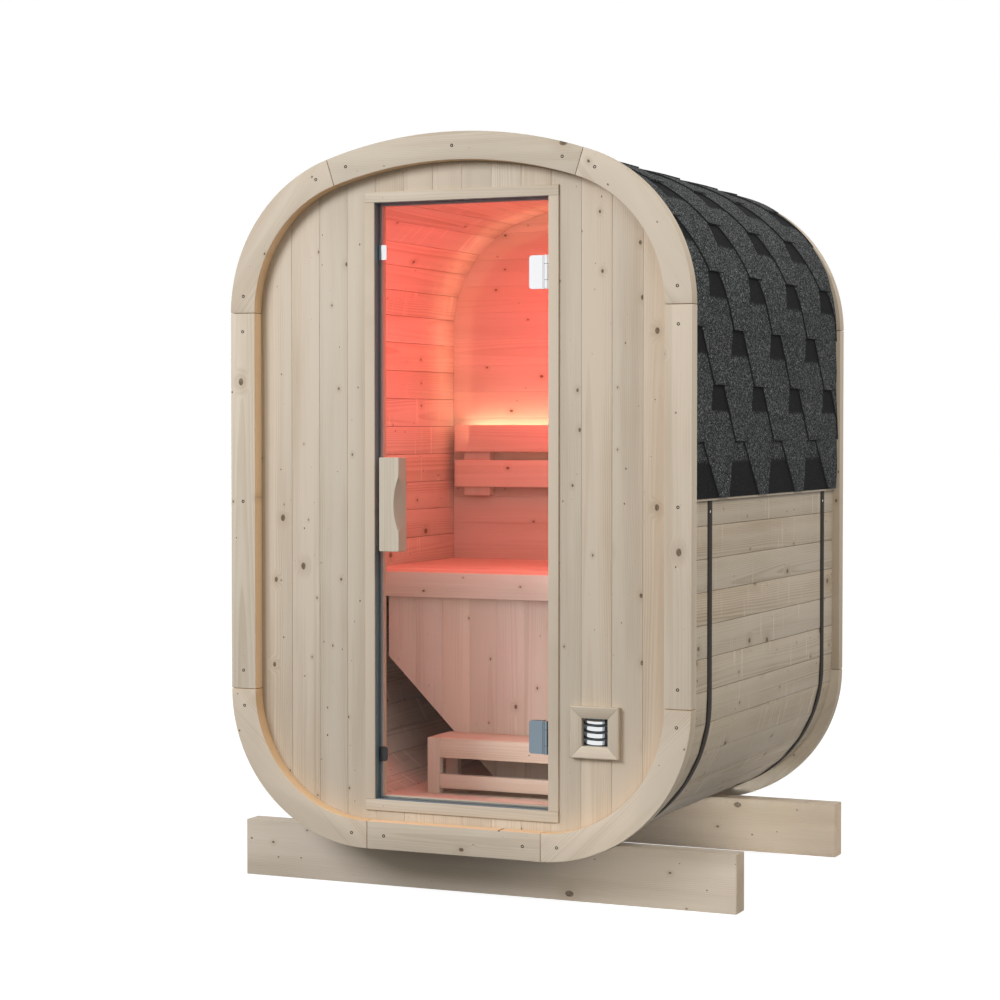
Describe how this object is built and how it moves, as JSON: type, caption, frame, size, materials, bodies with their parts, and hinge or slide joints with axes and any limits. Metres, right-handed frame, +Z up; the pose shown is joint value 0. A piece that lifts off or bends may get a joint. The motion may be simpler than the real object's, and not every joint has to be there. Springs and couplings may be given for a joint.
{
  "type": "outdoor sauna",
  "caption": "Free-standing rounded timber stave sauna with a hinged glass door, shingled roof, bench and step, standing on skids.",
  "frame": {"origin": "on the ground, at the middle of the plan", "axes": "+Z up, front with the glass door towards -Y, door hinges towards +X"},
  "size_m": [1.526, 1.46, 2.1416],
  "materials": {
    "ring_timber": "planed spruce, untreated",
    "stave_timber": "planed spruce staves, untreated",
    "shingle": "mineral granules on bitumen",
    "wall_timber": "planed spruce boards, untreated",
    "frame_timber": "planed spruce, untreated",
    "glass": "clear toughened glass",
    "handle_timber": "sanded spruce",
    "hinge_steel": "satin",
    "bright_steel": "polished",
    "louvre_steel": "polished",
    "black_plastic": "matt",
    "band_steel": "dark grey",
    "skid_timber": "sawn and planed spruce",
    "light": "diffusing cover",
    "inside_timber": "planed spruce, untreated"
  },
  "bodies": {
    "cabin": {"front_ring_top": "ring_timber", "front_ring_top_left": "ring_timber", "front_ring_top_right": "ring_timber", "front_ring_left": "ring_timber", "front_ring_right": "ring_timber", "front_ring_bottom_left": "ring_timber", "front_ring_bottom_right": "ring_timber", "front_ring_bottom": "ring_timber", "rear_ring_arch": "ring_timber", "rear_ring_sides": "ring_timber", "rear_ring_foot": "ring_timber", "shell_crown": "stave_timber", "shell_shoulders": "stave_timber", "shell_sides": "stave_timber", "shell_feet": "stave_timber", "shell_base": "stave_timber", "roof_cover_top": "shingle", "roof_cover_left": "shingle", "roof_cover_right": "shingle", "front_wall_left": "wall_timber", "front_wall_right": "wall_timber", "front_wall_over_door": "wall_timber", "front_wall_under_door": "wall_timber", "rear_wall": "inside_timber", "door_jambs": "frame_timber", "door_head": "frame_timber", "door_sill": "frame_timber", "frame_hinges": "hinge_steel", "vent_frame": "frame_timber", "vent_louvre": "louvre_steel", "steel_bands": "band_steel", "front_skid": "skid_timber", "rear_skid": "skid_timber", "floor_deck": "inside_timber", "bench_top": "inside_timber", "bench_fascia": "inside_timber", "bench_skirt": "inside_timber", "step_top": "inside_timber", "step_front": "inside_timber", "step_legs": "inside_timber", "backrest_slats": "inside_timber", "backrest_battens": "inside_timber", "light_strip": "light"},
    "door": {"door_glass": "glass", "door_handle": "handle_timber", "door_hinges": "hinge_steel", "upper_catch": "bright_steel", "lower_catch": "black_plastic"}
  },
  "joints": [
    {"name": "door_swing", "type": "hinge", "parent": "cabin", "child": "door", "pos_m": [0.261, -0.677, 1], "axis": [0, 0, 1], "range_deg": [0, 110]}
  ]
}
